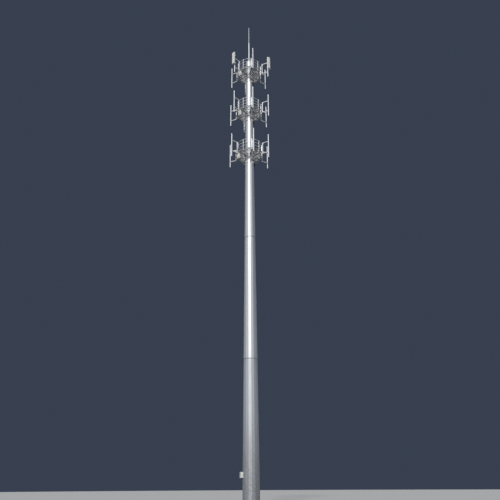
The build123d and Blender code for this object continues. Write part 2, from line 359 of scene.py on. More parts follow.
def studNut(across, stick):
    # nut on a washer with the stud's end standing out of it
    shape = boltShape
    top = across * (shape["head"] + shape["washer"])
    end = drum(across * shape["stud"], top, top + stick, 10)
    insetFaces(end, facingUp, across * shape["point"], (0, 0, across * shape["dome"]))
    return gather([hexBolt(across), end])


def throughBolt(across, grip):
    # along X: a head at the right, a nut at the left and the shank between them
    head = putAt(hexBolt(across), Matrix.Translation((grip / 2, 0, 0)) @ turned["right"])
    nut = studNut(across, across * boltShape["stick"])
    putAt(nut, Matrix.Translation((-grip / 2, 0, 0)) @ turned["left"])
    shank = rod(across * boltShape["shank"], (-grip / 2, 0, 0), (grip / 2, 0, 0), 8)
    return gather([head, nut, shank])


def uBolt(pipeRadius, wire, leg):
    # bow round a pipe along Z: it lies outside (-Y) and its legs point inwards (+Y)
    bpy.ops.mesh.primitive_circle_add(
        vertices=6, radius=wire / 2, fill_type="NGON", location=(pipeRadius + wire / 2, 0, 0),
        rotation=(pi / 2, 0, 0))
    piece = settle(bpy.context.object)
    pickFaces(piece, lambda c, n: True)
    bpy.ops.mesh.spin(steps=9, angle=-pi, center=(0, 0, 0), axis=(0, 0, 1))
    leaveEdit()
    pickFaces(piece, lambda c, n: abs(n.y) > 0.95 and abs(c.y) < wire * 0.1)
    extrude((0, leg, 0))
    mergeClose()
    bpy.ops.mesh.normals_make_consistent(inside=False)
    leaveEdit()
    return smooth(piece, 50)


print("helpers ready")


# Materials
def nodeMaker(tree):
    # an input is a constant, an output, or a node whose first output is meant
    def make(kind, inputs, **settings):
        node = tree.nodes.new(kind)
        node.location.y = -80 * len(tree.nodes)
        for key, value in settings.items():
            setattr(node, key, value)
        for key, value in inputs.items():
            value = value.outputs[0] if hasattr(value, "outputs") else value
            if hasattr(value, "is_output"):     # the node stands to the right of what feeds it
                tree.links.new(value, node.inputs[key])
                node.location.x = max(node.location.x, value.node.location.x + 200)
            else:
                node.inputs[key].default_value = value
        return node
    return make


def sums(make, operation, *values):
    return make("ShaderNodeMath", dict(enumerate(values)), operation=operation)


def product(make, first, *others):
    for other in others:
        first = sums(make, "MULTIPLY", first, other)
    return first


def remap(make, value, start, end, low=0.0, high=1.0, curve="LINEAR"):
    # the range from start to end becomes the range from low to high
    return make("ShaderNodeMapRange", {"Value": value, "From Min": start, "From Max": end,
                                       "To Min": low, "To Max": high}, interpolation_type=curve)


def objectPlace(make):
    return make("ShaderNodeTexCoord", {}).outputs["Object"]


def noise(make, place, scale, detail, roughness=0.5):
    return make("ShaderNodeTexNoise",
                {"Vector": place, "Scale": scale, "Detail": detail, "Roughness": roughness})


def upwardness(make):
    # 1 where a face looks up, -1 where it looks down
    normal = make("ShaderNodeNewGeometry", {}).outputs["Normal"]
    return make("ShaderNodeSeparateXYZ", {0: normal}).outputs[2]


def spangle(make, start):
    # crystals of hot-dip zinc: each has its own brightness
    place = objectPlace(make)
    warp = noise(make, place, 60.0, 2.0).outputs["Color"]
    shift = (0.0015, 0.0015, 0.0015)
    bent = make("ShaderNodeVectorMath", {0: warp, 1: shift, 2: place}, operation="MULTIPLY_ADD")
    size = sums(make, "DIVIDE", 1.0, start["Size"])
    cells = make("ShaderNodeTexVoronoi", {"Vector": bent, "Scale": size}, feature="F1")
    tint = make("ShaderNodeSeparateColor", {0: cells.outputs["Color"]})
    tone = product(make, remap(make, tint, 0.0, 1.0, -0.5, 0.5), start["Contrast"])
    return {"Tone": sums(make, "ADD", tone, 1.0), "Height": cells.outputs["Distance"]}


def streaks(make, start):
    # upright run marks of rain and zinc
    across = sums(make, "DIVIDE", 1.0, start["Width"])
    down = sums(make, "DIVIDE", 1.0, start["Length"])
    size = make("ShaderNodeCombineXYZ", {0: across, 1: across, 2: down})
    place = make("ShaderNodeVectorMath", {0: objectPlace(make), 1: size}, operation="MULTIPLY")
    marks = remap(make, noise(make, place, 1.0, 4.0, 0.55), 0.42, 0.72, curve="SMOOTHSTEP")
    return {"Mask": product(make, marks, start["Amount"])}


def wear(make, start):
    # outer corners are brighter where the zinc is rubbed
    corners = make("ShaderNodeNewGeometry", {}).outputs["Pointiness"]
    edge = remap(make, corners, 0.52, 0.64, curve="SMOOTHSTEP")
    rough = remap(make, noise(make, objectPlace(make), start["Grain"], 3.0), 0.35, 0.65)
    return {"Mask": product(make, edge, rough, start["Amount"])}


def dust(make, start):
    # blotches of dust, thicker on faces that look up
    lie = remap(make, upwardness(make), -0.2, 1.0, 0.35, 1.0)
    clouds = noise(make, objectPlace(make), sums(make, "DIVIDE", 1.0, start["Size"]), 5.0, 0.6)
    blotches = remap(make, clouds, 0.38, 0.68, curve="SMOOTHSTEP")
    return {"Mask": product(make, lie, blotches, start["Amount"])}


def seam(make, start):
    # darkening, thickest at a height, that thins out downwards, or upwards where the depth is negative; used
    # as painted shade under the slip joints, and to make the foot darker towards the ground
    place = objectPlace(make)
    height = make("ShaderNodeSeparateXYZ", {0: place}).outputs[2]
    share = sums(make, "DIVIDE", sums(make, "SUBTRACT", start["Height"], height), start["Depth"])
    fade = remap(make, share, 0.0, 1.0, 1.0, 0.0, "SMOOTHERSTEP")
    uneven = remap(make, noise(make, place, 14.0, 4.0), 0.3, 0.6, 0.55, 1.0)
    return {"Mask": product(make, fade, sums(make, "GREATER_THAN", share, 0.0), uneven, start["Amount"])}


def shelter(make, start):
    # painted shade: faces that look down are darkened, unevenly
    down = remap(make, upwardness(make), -0.35, -0.9, curve="SMOOTHSTEP")
    uneven = remap(make, noise(make, objectPlace(make), 26.0, 3.0), 0.3, 0.55, 0.7, 1.0)
    return {"Mask": product(make, down, uneven, start["Amount"])}


def newGroup(name, build, inputs):
    # node group with numbers as inputs; build gives its outputs, which are numbers too
    group = bpy.data.node_groups.new(name, "ShaderNodeTree")
    for title, value in inputs.items():
        socket = group.interface.new_socket(name=title, in_out="INPUT", socket_type="NodeSocketFloat")
        socket.default_value = value
    make = nodeMaker(group)
    made = build(make, group.nodes.new("NodeGroupInput").outputs)
    for title in made:
        group.interface.new_socket(name=title, in_out="OUTPUT", socket_type="NodeSocketFloat")
    make("NodeGroupOutput", made)
    return group


groups = {
    "spangle": newGroup("zincSpangle", spangle, {"Size": 0.008, "Contrast": 0.25}),
    "streaks": newGroup("rainStreaks", streaks, {"Width": 0.03, "Length": 1.2, "Amount": 0.5}),
    "wear": newGroup("edgeWear", wear, {"Amount": 0.6, "Grain": 90.0}),
    "dust": newGroup("dustFilm", dust, {"Size": 0.25, "Amount": 0.4}),
    "seam": newGroup("seamShadeAndFootDarkening", seam, {"Height": 1.0, "Depth": 0.05, "Amount": 0.8}),
    "shelter": newGroup("shelteredGrime", shelter, {"Amount": 0.8}),
}


def newMaterial(name):
    material = bpy.data.materials.new(name)
    material.use_nodes = True
    tree = material.node_tree
    shader = tree.nodes["Principled BSDF"]
    shader.location = (1800, 0)
    tree.nodes["Material Output"].location = (2100, 0)
    return material, tree, nodeMaker(tree), shader


def useGroup(make, which, **values):
    return make("ShaderNodeGroup", values, node_tree=groups[which])


def mixColour(make, factor, first, second):
    # each colour is an output or its red, green and blue
    ends = [(*value, 1) if isinstance(value, tuple) else value for value in (first, second)]
    return make("ShaderNodeMix", {0: factor, 6: ends[0], 7: ends[1]}, data_type="RGBA").outputs[2]


def zincBase(make, place, look):
    # brightness and relief of the crystals
    crystals = useGroup(make, "spangle", Size=look["crystal"], Contrast=look["contrast"])
    fine = noise(make, place, look["grain"], 3.0)
    return crystals, sums(make, "MULTIPLY_ADD", crystals.outputs["Height"], 0.5, fine)


def coatBase(make, place, look):
    # faint clouds and a fine skin
    clouds = noise(make, place, look["cloud"], 4.0)
    tone = remap(make, clouds, 0.0, 1.0, 1.0 - look["variation"], 1.0 + look["variation"])
    return tone, noise(make, place, look["grain"], 2.0)


def finish(name, base, look):
    # a base under run marks, a dust film and rubbed edges, then painted shade on faces that look down and
    # dark bands at given heights
    material, tree, make, shader = newMaterial(name)
    tone, relief = base(make, objectPlace(make), look)
    colour = make("ShaderNodeVectorMath", {0: look["colour"], "Scale": tone}, operation="SCALE").outputs[0]
    marks = useGroup(make, "streaks", Width=look["streakWidth"], Length=look["streakLength"],
                     Amount=look["streaks"])
    film = useGroup(make, "dust", Size=look["dustSize"], Amount=look["dust"])
    rubbed = useGroup(make, "wear", Amount=look["wear"], Grain=look["wearGrain"])
    for mask, tint in ((marks, "streakColour"), (film, "dustColour"), (rubbed, "edgeColour")):
        colour = mixColour(make, mask, colour, look[tint])
    # painted shade on faces that look down
    if "shelter" in look:
        underShadeMask = useGroup(make, "shelter", Amount=look["shelter"])
        colour = mixColour(make, underShadeMask, colour, look["shelterColour"])
    # dark bands: painted shade under the slip joints, and darker towards the ground at the foot
    for place in look.get("seams", []):
        colour = mixColour(make, useGroup(make, "seam", **place), colour, (0.10, 0.10, 0.10))
    # roughness rises in the dust, and on zinc in the run marks too
    dull = sums(make, "MAXIMUM", marks, film) if base is zincBase else film
    rough = remap(make, dull, 0.0, 1.0, look["roughness"], look["roughness"] + look["dulling"])
    bump = make("ShaderNodeBump", {"Strength": look["bump"], "Distance": look["relief"], "Height": relief})
    tree.links.new(colour, shader.inputs["Base Color"])
    tree.links.new(rough.outputs[0], shader.inputs["Roughness"])
    tree.links.new(bump.outputs[0], shader.inputs["Normal"])
    shader.inputs["Metallic"].default_value = look["metallic"]
    return material


zincLook = {
    "colour": (0.78, 0.79, 0.80), "crystal": 0.009, "contrast": 0.22,
    "streakWidth": 0.025, "streakLength": 1.4, "streaks": 0.35, "streakColour": (0.60, 0.61, 0.62),
    "dustSize": 0.35, "dust": 0.35, "dustColour": (0.58, 0.57, 0.54),
    "wear": 0.5, "wearGrain": 90.0, "edgeColour": (0.92, 0.92, 0.92),
    # amount and colour of the painted shade on faces that look down
    "shelter": 0.85, "shelterColour": (0.20, 0.20, 0.19),
    "metallic": 0.9, "roughness": 0.56, "dulling": 0.22, "grain": 220.0, "bump": 0.25, "relief": 0.0006,
}
# dark bands just below where a section's foot laps over the one beneath: painted shade
topSeam = {"Height": pole["starts"][1], "Depth": 0.05, "Amount": 0.85}
poleZinc = finish("poleZinc", zincBase, {
    **zincLook, "colour": (0.755, 0.785, 0.82), "streakColour": (0.58, 0.61, 0.64),
    "seams": [topSeam, {**topSeam, "Height": pole["starts"][2]},
              {"Height": pole["starts"][3], "Depth": 0.04, "Amount": 0.7}],
})
baseZinc = finish("baseZinc", zincBase, {
    **zincLook, "colour": (0.58, 0.62, 0.66), "roughness": 0.6, "streaks": 0.45, "contrast": 0.16,
    "streakColour": (0.50, 0.53, 0.57), "dust": 0.5,
    # painted shade under the slip joint, and the foot darker towards the ground
    "seams": [topSeam, {"Height": 0.0, "Depth": -4.5, "Amount": 0.5}],
})
platformLook = {
    **zincLook, "colour": (0.93, 0.94, 0.95), "crystal": 0.006, "contrast": 0.14,
    "streakColour": (0.76, 0.77, 0.78), "streakWidth": 0.012, "streakLength": 0.25,
    "dustSize": 0.08, "dust": 0.18,
}
platformZinc = finish("platformZinc", zincBase, {**platformLook, "roughness": 0.5, "metallic": 0.3})
railZinc = finish("railZinc", zincBase, {**platformLook, "roughness": 0.4, "metallic": 0.4})
pipeZinc = finish("pipeZinc", zincBase, {
    **platformLook, "colour": (0.82, 0.83, 0.84), "streakColour": (0.66, 0.67, 0.68), "streakWidth": 0.010,
    "streakLength": 0.5, "dustSize": 0.12, "roughness": 0.47, "metallic": 0.4,
})
rodMetal = finish("rodMetal", zincBase, {
    **platformLook, "crystal": 0.02, "contrast": 0.05, "streakWidth": 0.01, "streakLength": 0.6,
    "dustSize": 0.3, "roughness": 0.4, "metallic": 0.4,
})
# painted shade: the platform's galvanised steel as a darker copy for the outer rings, beams, braces and cheek
# plates, standing for their shaded side
shadedFrameZinc = finish("shadedFrameZinc", zincBase, {
    **zincLook, "colour": (0.45, 0.46, 0.47), "crystal": 0.006, "roughness": 0.52, "metallic": 0.6,
    "streakColour": (0.33, 0.33, 0.33), "streakWidth": 0.012, "streakLength": 0.2,
    "dustColour": (0.38, 0.37, 0.34), "dustSize": 0.08, "edgeColour": (0.66, 0.66, 0.66),
    "shelterColour": (0.07, 0.07, 0.065),
})
# painted shade: the deck grating's galvanised steel as a much darker copy, standing for its shaded underside
shadedDeckZinc = finish("shadedDeckZinc", zincBase, {
    **zincLook, "colour": (0.29, 0.30, 0.31), "crystal": 0.005, "roughness": 0.58, "metallic": 0.6,
    "streakColour": (0.20, 0.20, 0.20), "streakWidth": 0.01, "streakLength": 0.1,
    "dustColour": (0.28, 0.27, 0.25), "dustSize": 0.1, "dust": 0.4, "edgeColour": (0.5, 0.5, 0.5),
    "shelterColour": (0.06, 0.06, 0.06),
})
boltZinc = finish("boltZinc", zincBase, {
    **zincLook, "colour": (0.64, 0.64, 0.62), "crystal": 0.004, "roughness": 0.4,
    "streakWidth": 0.006, "streakLength": 0.05, "dustSize": 0.05,
})
coatLook = {
    "colour": (0.80, 0.80, 0.77), "variation": 0.05, "cloud": 12.0, "streaks": 0.3,
    "streakWidth": 0.008, "streakLength": 0.12, "streakColour": (0.52, 0.51, 0.47),
    "dust": 0.35, "dustSize": 0.06, "dustColour": (0.55, 0.53, 0.48),
    "wear": 0.35, "wearGrain": 140.0, "edgeColour": (0.88, 0.88, 0.86),
    "metallic": 0.0, "roughness": 0.45, "dulling": 0.2, "grain": 420.0, "bump": 0.2, "relief": 0.0004,
}
radioCoat = finish("radioCoat", coatBase, coatLook)
radomeShell = finish("radomeShell", coatBase, {
    **coatLook, "colour": (0.72, 0.70, 0.66), "roughness": 0.4, "streakLength": 0.3, "grain": 600.0,
    "bump": 0.1,
})
boxEnamel = finish("boxEnamel", coatBase, {**coatLook, "colour": (0.72, 0.73, 0.72), "roughness": 0.5})
hoodPolymer = finish("hoodPolymer", coatBase, {
    **coatLook, "colour": (0.022, 0.022, 0.024), "streaks": 0.25, "streakColour": (0.10, 0.10, 0.10),
    "dustColour": (0.13, 0.12, 0.11), "edgeColour": (0.07, 0.07, 0.07), "roughness": 0.6, "grain": 260.0,
    "bump": 0.5,
})
print("materials ready")


# Pole
poleShape = {"fold": 0.007, "foldSegments": 3, "weldWidth": 0.006, "weldHeight": 0.0016, "weldEdge": 0.0013,
             "weldStop": 0.001}
door = {"azimuth": 174, "height": 0.675, "width": 0.11, "length": 0.405, "gap": 0.0003, "rim": 0.007,
        "cover": 0.003, "screw": 0.008, "screwSide": 0.047, "screwRise": 0.12, "screwEnd": 0.193,
        "cutSides": 48, "cutDepth": 0.3, "cutOut": 0.4}


def doorCutter():
    # upright slot with round ends, through the back facet
    width, length = door["width"] + 2 * door["gap"], door["length"] + 2 * door["gap"]
    bpy.ops.mesh.primitive_cylinder_add(
        vertices=door["cutSides"], radius=width / 2, depth=door["cutDepth"],
        location=(0, -door["cutOut"], 0), rotation=(pi / 2, 0, 0))
    piece = settle(bpy.context.object)
    for way in (1, -1):
        movePoints(piece, lambda p: p.z * way > 0.0001, (0, 0, way * (length - width) / 2))
    return putAt(piece, spot(door["azimuth"], 0, door["height"]))


def poleSection(index):
    bottom, top = pole["starts"][index], pole["ends"][index]
    piece = openShell(poleHalf(bottom, index), poleHalf(top, index), bottom, top, pole["sides"], facetTurn)
    # the plate is folded, not cut, so each corner is a narrow bend
    roundAlong(piece, 2, poleShape["fold"], poleShape["foldSegments"])
    thicken(piece, pole["walls"][index])
    if index == 0:      # the hand hole
        cutter = doorCutter()
        modify(piece, "BOOLEAN", operation="DIFFERENCE", object=cutter, solver="EXACT")
        discard(cutter)
    smooth(piece, 30)
    modify(piece, "WEIGHTED_NORMAL", keep_sharp=True, weight=80)
    return label(piece, f"poleSection{index + 1}")


def weldSeam(index, azimuth):
    # lengthwise weld on the middle of a facet, up to the next section
    bottom = pole["starts"][index]
    length = min([pole["ends"][index], *pole["starts"][index + 1:]]) - bottom
    size = (poleShape["weldWidth"], 2 * poleShape["weldHeight"], length - 2 * poleShape["weldStop"])
    piece = block(size, (0, 0, length / 2), poleShape["weldEdge"])
    lean = Matrix.Rotation(-atan(pole["slope"]), 4, "X")
    return putAt(piece, spot(azimuth, poleHalf(bottom, index), bottom + poleShape["weldStop"]) @ lean)


for index in range(len(pole["starts"])):
    zinc, slotName = (poleZinc, "galvanised_pole") if index else (baseZinc, "galvanised_base")
    keep(paint(poleSection(index), zinc), slotName, f"pole_section_{index + 1}")
    seams = [weldSeam(index, pole["turn"] + shift) for shift in (90, 270)]
    keep(paint(gather(seams, f"poleSeams{index + 1}"), zinc), slotName)
print("pole sections done")


# Foot: flange, gussets, anchor studs and the weld round the pole
foot = {"pcd": 0.79, "studs": 16, "flangeTop": 0.025, "weld": 0.007, "weldDrop": 0.0005,
        "nut": 0.036, "nutWasher": 0.575, "stud": 0.012, "washer": 0.0215, "washerTop": 0.004,
        "lock": 0.0324, "lockBottom": 0.03, "stick": 0.012}

for node, title, width in (("base_flange", "baseFlange", 0.0015), ("base_stiffeners", "baseGussets", 0.001)):
    keep(paint(edgedCopy(node, title, width), baseZinc), "galvanised_base", node)


def anchorStud():
    # plate washer, main nut, thinner lock nut and the stud's end
    top = foot["washerTop"]
    washer = drum(foot["washer"], 0, top, 20)
    nut = putAt(hexBolt(foot["nut"], foot["nutWasher"]), spot(0, 0, top))
    lock = putAt(studNut(foot["lock"], foot["stick"]), spot(0, 0, foot["lockBottom"]))
    shank = rod(foot["stud"], (0, 0, lap - foot["flangeTop"]), (0, 0, top), 16)
    return gather([washer, nut, lock, shank])


step = 360 / foot["studs"]
studs = scatter(anchorStud(), [
    spot(pole["turn"] + step * (k + 0.5), foot["pcd"] / 2, foot["flangeTop"]) for k in range(foot["studs"])
], "anchorStuds")
keep(paint(studs, boltZinc), "galvanised_base")
weldFace, weldBottom = poleHalf(foot["flangeTop"]), foot["flangeTop"] - foot["weldDrop"]
footWeld = openShell(weldFace + foot["weld"], weldFace, weldBottom, weldBottom + foot["weld"],
                     pole["sides"], facetTurn)
smooth(thicken(footWeld, foot["weld"] + lap), 20)
keep(paint(label(footWeld, "footWeld"), baseZinc), "galvanised_base")
print("foot done")

# Hand hole at the back
keep(paint(edgedCopy("door_frame", "handHoleRim", broadEdge), baseZinc), "galvanised_base", "door_frame")
keep(paint(edgedCopy("access_door", "handHoleCover", plainEdge), poleZinc), "galvanised_base", "access_door")
coverFace = poleHalf(door["height"], 0) + door["rim"] + door["cover"]
screws = [(side * door["screwSide"], rise * door["screwRise"]) for rise in (0, 1, -1) for side in (-1, 1)]
screws += [(0, way * door["screwEnd"]) for way in (1, -1)]
screws = scatter(hexBolt(door["screw"]), [
    spot(door["azimuth"], coverFace, door["height"] + rise, side, "out") for side, rise in screws
], "coverScrews")
keep(paint(screws, boltZinc), "galvanised_base")
print("hand hole done")

# Junction box, low at the left
box = {
    "azimuth": -73.5, "height": 1.15, "width": 0.17, "length": 0.20, "depth": 0.09, "lid": 0.015,
    "lip": 0.004, "corner": 0.007, "cornerSegments": 4, "border": 0.012, "slope": 0.002,
    "railDepth": 0.015, "railWidth": 0.02, "railGap": 0.13, "slotWall": 0.003, "slotDepth": 0.009,
    "hinge": 0.004, "hingeHalf": 0.018, "hinges": (0.06, -0.06),
    "lock": 0.007, "lockSide": 0.065, "locks": (0.055, -0.055), "lockOut": 0.003,
    "lockSlot": (0.009, 0.002, 0.0018), "lockSlotOut": 0.0032,
    "glands": (-0.05, -0.017, 0.017, 0.05),
    "gland": [(0.0095, -lap, 0.006, 6, smallEdge), (0.007, 0.006, 0.014, 16, 0.0025)],
    "bolt": 0.010, "boltSide": 0.079, "boltRise": 0.065,
}


def junctionBox():
    back = poleHalf(box["height"] - (box["railGap"] + box["railWidth"]) / 2, 0)
    bodyBack = back + box["railDepth"]
    bodyDepth = box["depth"] - box["lid"]
    bodyMiddle = bodyBack + bodyDepth / 2
    parts = []
    for way in (1, -1):     # slotted channel rails
        rail = block((box["width"], box["railDepth"], box["railWidth"]),
                     (0, -(back + box["railDepth"] / 2), way * box["railGap"] / 2))
        insetFaces(rail, facingFront, box["slotWall"], (0, box["slotDepth"], 0))
        parts.append(paint(soften(rail, fineEdge), platformZinc))
    body = block((box["width"], bodyDepth, box["length"]), (0, -bodyMiddle, 0))
    roundAlong(body, 1, box["corner"], box["cornerSegments"])
    parts.append(paint(soften(body, smallEdge, 2, sharpOnly), boxEnamel))
    lidBack, lidFace = bodyBack + bodyDepth, bodyBack + box["depth"]
    lid = block((box["width"] + 2 * box["lip"], box["lid"], box["length"] + 2 * box["lip"]),
                (0, -(lidBack + lidFace) / 2, 0))
    roundAlong(sinkFront(lid, box["border"], box["slope"]), 1, box["corner"], box["cornerSegments"])
    parts.append(paint(soften(lid, plainEdge), boxEnamel))
    side = -(box["width"] / 2 + box["lip"])
    for z in box["hinges"]:
        ends = [(side, -lidBack, z + way * box["hingeHalf"]) for way in (-1, 1)]
        parts.append(paint(rod(box["hinge"], *ends, 12, smallEdge), boltZinc))
    for z in box["locks"]:
        ends = [(box["lockSide"], -(lidFace + out), z) for out in (-lap, box["lockOut"])]
        parts.append(paint(rod(box["lock"], *ends, 16, smallEdge), boltZinc))
        # the key slot is a black block on the lock's face: painted shade of its recess
        slot = block(box["lockSlot"], (box["lockSide"], -(lidFace + box["lockSlotOut"]), z), hairEdge)
        parts.append(paint(slot, hoodPolymer))
    for x in box["glands"]:     # cable glands under the body
        parts += stub((x, -bodyMiddle, -box["length"] / 2), box["gland"], hoodPolymer)
    made = putAt(gather(parts, "junctionBox"), spot(box["azimuth"], 0, box["height"]))
    bolts = scatter(hexBolt(box["bolt"]), [
        spot(box["azimuth"], bodyBack - box["slotDepth"], box["height"] + rise * box["boltRise"],
             side * box["boltSide"], "out") for side in (-1, 1) for rise in (-1, 1)], "boxRailBolts")
    return made, paint(bolts, boltZinc)


boxPiece, boxBolts = junctionBox()
keep(boxPiece, "box_enamel", "junction_box")
keep(boxBolts, "box_enamel")
print("junction box done")

# Head plate, rod socket and lightning rod
head = {
    "top": 20.833, "plate": 0.008, "half": 0.1575, "rodRadius": 0.0254, "socketWall": 0.006,
    "socketHeight": 0.16, "gap": 0.0003, "ribs": 4, "rib": 0.075, "ribHeight": 0.11, "ribThickness": 0.005,
    "ribToe": 0.006,
    "bolts": 8, "bolt": 0.012, "boltReach": 0.128, "screw": 0.009, "screwStick": 0.006, "screwHeight": 0.12,
    "collar": 0.0282, "tip": 0.012075, "rodLength": 1.25, "needle": 0.992, "point": 0.03,
}


def headPlate():
    top, outer = head["top"], head["rodRadius"] + head["gap"] + head["socketWall"]
    base = drum(head["half"] / cos(pi / pole["sides"]), top - head["plate"], top, pole["sides"], 0, facetTurn)
    socket = drum(outer, top, top + head["socketHeight"], 40)
    insetFaces(socket, facingUp, head["socketWall"], (0, 0, lap - head["socketHeight"]))
    # upright triangle on its foot, its upright side against the socket
    reach, tall = head["rib"], head["ribHeight"]
    middle = outer - lap + reach / 2
    rib = block((head["ribThickness"], reach, tall), (0, -middle, tall / 2))
    movePoints(rib, lambda p: p.y < -middle and p.z > tall / 2, (0, 0, head["ribToe"] - tall))
    ribs = scatter(soften(rib, fineEdge), [spot(45 + 90 * k, 0, top) for k in range(head["ribs"])])
    piece = gather([soften(base, plainEdge), soften(socket, smallEdge, 2, sharpOnly), ribs], "headPlate")
    bolts = scatter(hexBolt(head["bolt"]), [
        spot(pole["turn"] + 45 * k, head["boltReach"], top) for k in range(head["bolts"])])
    screws = scatter(studNut(head["screw"], head["screwStick"]), [
        spot(90 * k, outer, top + head["screwHeight"], 0, "out") for k in range(4)])
    return paint(piece, poleZinc), paint(gather([bolts, screws], "headBolts"), boltZinc)


def lightningRod():
    # drawn out step by step: thick part, collar, cone, thin part and point
    radius, collar = head["rodRadius"], head["collar"]
    height = head["top"] + head["rodLength"]
    piece = drum(radius, head["top"], height, 32)
    steps = [(0.004, collar / radius), (0.022, 1.0), (0.004, 0.86), (0.035, 0.62),
             (0.0, head["tip"] / (collar * 0.86 * 0.62)),
             (head["needle"], 1.0), (head["point"], 0.62), (head["point"], 0.05)]
    pickFaces(piece, facingUp)
    for rise, size in steps:
        extrude((0, 0, rise))
        bpy.ops.transform.resize(value=(size, size, 1), center_override=(0, 0, height))
        height += rise
    mergeClose()
    leaveEdit()
    return paint(label(smooth(piece, 30), "lightningRod"), rodMetal)


plate, plateBolts = headPlate()
keep(plate, "galvanised_pole", "pole_cap")
keep(plateBolts, "galvanised_pole")
keep(lightningRod(), "rod_metal", "lightning_rod")
print("head and rod done")

# Platforms
deckShape = {
    "radius": 0.568, "sides": 108, "edge": 0.004, "rise": 0.04, "depth": 0.015,
    "bar": 0.0016, "barDepth": 0.0075, "pitch": 0.0205, "barGap": 0.0005, "barLength": 2.4,
    "cross": 0.003, "crossPitch": 0.05, "crossDrop": 0.0005, "boreGap": 0.04, "boreBand": 0.004,
    "cutter": 0.1, "jointBar": (0.003, 0.02), "jointSide": 0.0035,
}
bands = {"deck": (0.015, 0.08), "radio": (0.175, 0.055), "brace": (0.43, 0.065)}   # depth of top, height
bandPlate = {"thickness": 0.01, "gap": 0.0003, "earAzimuth": 151.5, "split": 0.012, "earPlate": 0.01}


def bandFace(height, band):
    # distance out of a band's outer face at its lowest edge
    depth, tall = bands[band]
    return poleHalf(height - depth - tall) + bandPlate["gap"] + bandPlate["thickness"]


def gratingDeck(name, height):
    # bearing bars side to side, cross rods, a band round the bore and the rolled edge plate
    shape = deckShape
    inside = shape["radius"] - shape["edge"]
    bore = poleHalf(height) + shape["boreGap"]
    low, high = height - shape["cutter"], height + shape["cutter"]
    disc, hole = [drum(half / cos(pi / sides), low, high, sides, 0, turn)
                  for half, sides, turn in ((inside - shape["barGap"], shape["sides"], 0),
                                            (bore, pole["sides"], facetTurn))]
    parts = []
    for axis, width, depth, pitch, drop in (
            (1, shape["bar"], shape["barDepth"], shape["pitch"], 0),
            (0, shape["cross"], shape["cross"], shape["crossPitch"], shape["crossDrop"])):
        count = int(2 * inside / pitch)
        length = shape["barLength"] * inside
        size, start, shift = [length, length, depth], [0, 0, height - depth / 2 - drop], [0, 0, 0]
        size[axis], start[axis], shift[axis] = width, -(count - 1) / 2 * pitch, pitch
        bars = repeat(block(size, start), count, shift)
        modify(bars, "BOOLEAN", operation="INTERSECT", object=disc, solver="MANIFOLD")
        modify(bars, "BOOLEAN", operation="DIFFERENCE", object=hole, solver="MANIFOLD")
        parts.append(bars)
    discard(disc, hole)
    bottom, ring = height - shape["depth"], bore + shape["boreBand"]
    parts.append(openRing(ring, shape["boreBand"], bottom, height, pole["sides"], facetTurn, thinEdge))
    parts.append(openRing(shape["radius"], shape["edge"], bottom, height + shape["rise"],
                          shape["sides"], 0, smallEdge))
    # the deck is in two halves, bolted together along a pair of flat bars
    width, depth = shape["jointBar"]
    for azimuth in (bandPlate["earAzimuth"], bandPlate["earAzimuth"] + 180):
        for way in (-1, 1):
            bar = block((width, inside - ring, depth),
                        (way * shape["jointSide"], -(inside + ring) / 2, height - depth / 2), hairEdge)
            parts.append(putAt(bar, spot(azimuth, 0, 0)))
    return paint(gather(parts, f"{name}Deck"), shadedDeckZinc)


railShape = {"heights": [0.075, 0.2415, 0.4085, 0.575], "radius": 0.0106, "around": 108, "section": 12,
             "sleeveAzimuth": 30, "sleeve": 0.05, "bolt": 0.008}
sleeveShare = 1.13          # a sleeve's radius against its tube's
postShape = {"count": 9, "azimuth": 10, "width": 0.025, "wall": 0.002, "top": 0.5856, "bottom": -0.015,
             "lid": 0.003, "lidDrop": 0.0012, "lidEdge": 0.0008, "lug": (0.04, 0.003, 0.05),
             "lugHeight": 0.011, "nut": 0.008, "nutStick": 0.003, "nutSide": 0.008, "nutHeight": 0.02}
ringShape = {"radius": 0.67, "tube": 0.01507, "around": 120, "section": 14,
             "sleeveAzimuth": 35, "sleeve": 0.07}


def rolledRing(shape, radius, tube, height):
    # round ring with three sleeves where its rolled lengths meet
    bpy.ops.mesh.primitive_torus_add(
        major_radius=radius, minor_radius=tube, major_segments=shape["around"],
        minor_segments=shape["section"], location=(0, 0, height))
    piece = settle(bpy.context.object)
    bpy.ops.object.shade_smooth()
    parts = [piece]
    for k in range(3):
        turn = radians(shape["sleeveAzimuth"] + 120 * k)
        middle = Vector((radius * sin(turn), -radius * cos(turn), height))
        along = Vector((cos(turn), sin(turn), 0)) * shape["sleeve"] / 2
        parts.append(rod(tube * sleeveShare, middle - along, middle + along, 16, plainEdge))
    return parts


def railing(name, height):
    tube = railShape["radius"]
    parts = []
    for rise in railShape["heights"]:
        parts += rolledRing(railShape, deckShape["radius"] - tube, tube, height + rise)
    return paint(gather(parts, f"{name}Rails"), railZinc)


def postSpots(reach, rise, side=0.0, facing="up"):
    count = postShape["count"]
    return [spot(postShape["azimuth"] + 360 / count * k, reach, rise, side, facing) for k in range(count)]


def railPost():
    # square tube with a lid, at the front and for a deck at zero height
    shape = postShape
    width, reach = shape["width"], deckShape["radius"] + shape["width"] / 2
    post = squareTube(width, shape["bottom"], shape["top"], reach, shape["wall"], broadEdge)
    lid = block((width - shape["lidEdge"], width - shape["lidEdge"], shape["lid"]),
                (0, -reach, shape["top"] - shape["lidDrop"]), plainEdge)
    lug = block(shape["lug"], (0, -(deckShape["radius"] + shape["lug"][1] / 2), shape["lugHeight"]), fineEdge)
    return gather([post, lid, lug])


def outerRing(name, height):
    shape = ringShape
    parts = rolledRing(shape, shape["radius"], shape["tube"], height - bands["deck"][0] + shape["tube"])
    return paint(gather(parts, f"{name}OuterRing"), shadedFrameZinc)


